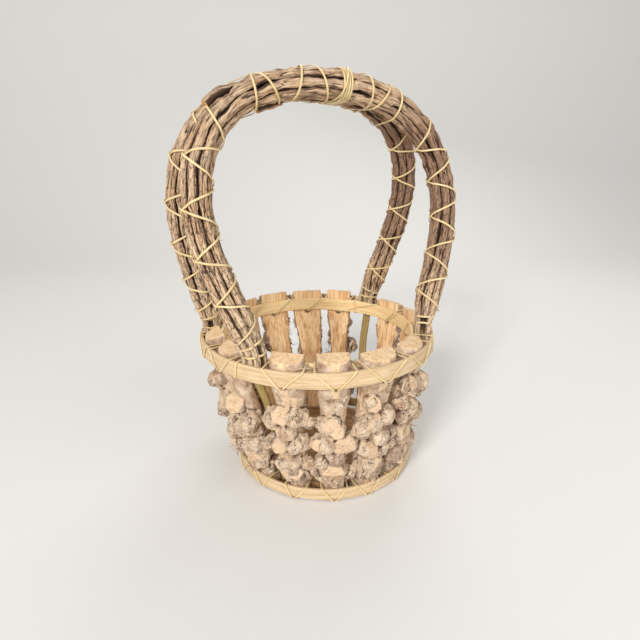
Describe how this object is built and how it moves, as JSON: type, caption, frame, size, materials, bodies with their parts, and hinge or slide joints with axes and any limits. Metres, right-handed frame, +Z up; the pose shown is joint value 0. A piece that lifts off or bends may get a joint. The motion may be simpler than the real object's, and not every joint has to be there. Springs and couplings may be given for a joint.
{
  "type": "foraging basket",
  "caption": "Round open basket of split, knobby root staves laced with cane between wooden hoops, on a round board, under a tall fixed double handle of twig bundles.",
  "frame": {"origin": "centre of the base board's underside, on the ground", "axes": "+Z up; +X to the right and -Y towards the viewer as the picture shows the basket; the handle's arch runs 28 degrees anticlockwise from +X"},
  "size_m": [0.3531, 0.3051, 0.4931],
  "materials": {
    "root_wood": "raw split root, weathered grey-tan outside and orange-brown on the split face",
    "twig_bark": "dry furrowed bark on thin twigs",
    "split_core": "split strip, rubbed smooth",
    "hoop_wood": "bent split-wood band, unvarnished",
    "board_wood": "sawn board, unvarnished",
    "cane": "split cane with a satin skin"
  },
  "bodies": {
    "root": {"base_board": "board_wood", "base_hoop": "hoop_wood", "base_lashing": "cane", "front_core": "split_core", "front_twig_1": "twig_bark", "front_twig_1_left": "twig_bark", "front_twig_2": "twig_bark", "front_twig_3": "twig_bark", "front_twig_4": "twig_bark", "front_twig_5": "twig_bark", "front_twig_6": "twig_bark", "front_twig_7": "twig_bark", "left_front_lacing": "cane", "left_rear_lacing": "cane", "rear_core": "split_core", "rear_twig_1": "twig_bark", "rear_twig_2": "twig_bark", "rear_twig_3": "twig_bark", "rear_twig_4": "twig_bark", "rear_twig_5": "twig_bark", "rear_twig_6": "twig_bark", "rear_twig_7": "twig_bark", "right_front_lacing": "cane", "right_rear_lacing": "cane", "rim_inner_hoop": "hoop_wood", "rim_lashing": "cane", "rim_outer_hoop": "hoop_wood", "stave_01": "root_wood", "stave_02": "root_wood", "stave_03": "root_wood", "stave_04": "root_wood", "stave_05": "root_wood", "stave_06": "root_wood", "stave_07": "root_wood", "stave_08": "root_wood", "stave_09": "root_wood", "stave_10": "root_wood", "stave_11": "root_wood", "stave_12": "root_wood", "stave_13": "root_wood", "top_lacing": "cane"}
  },
  "joints": []
}
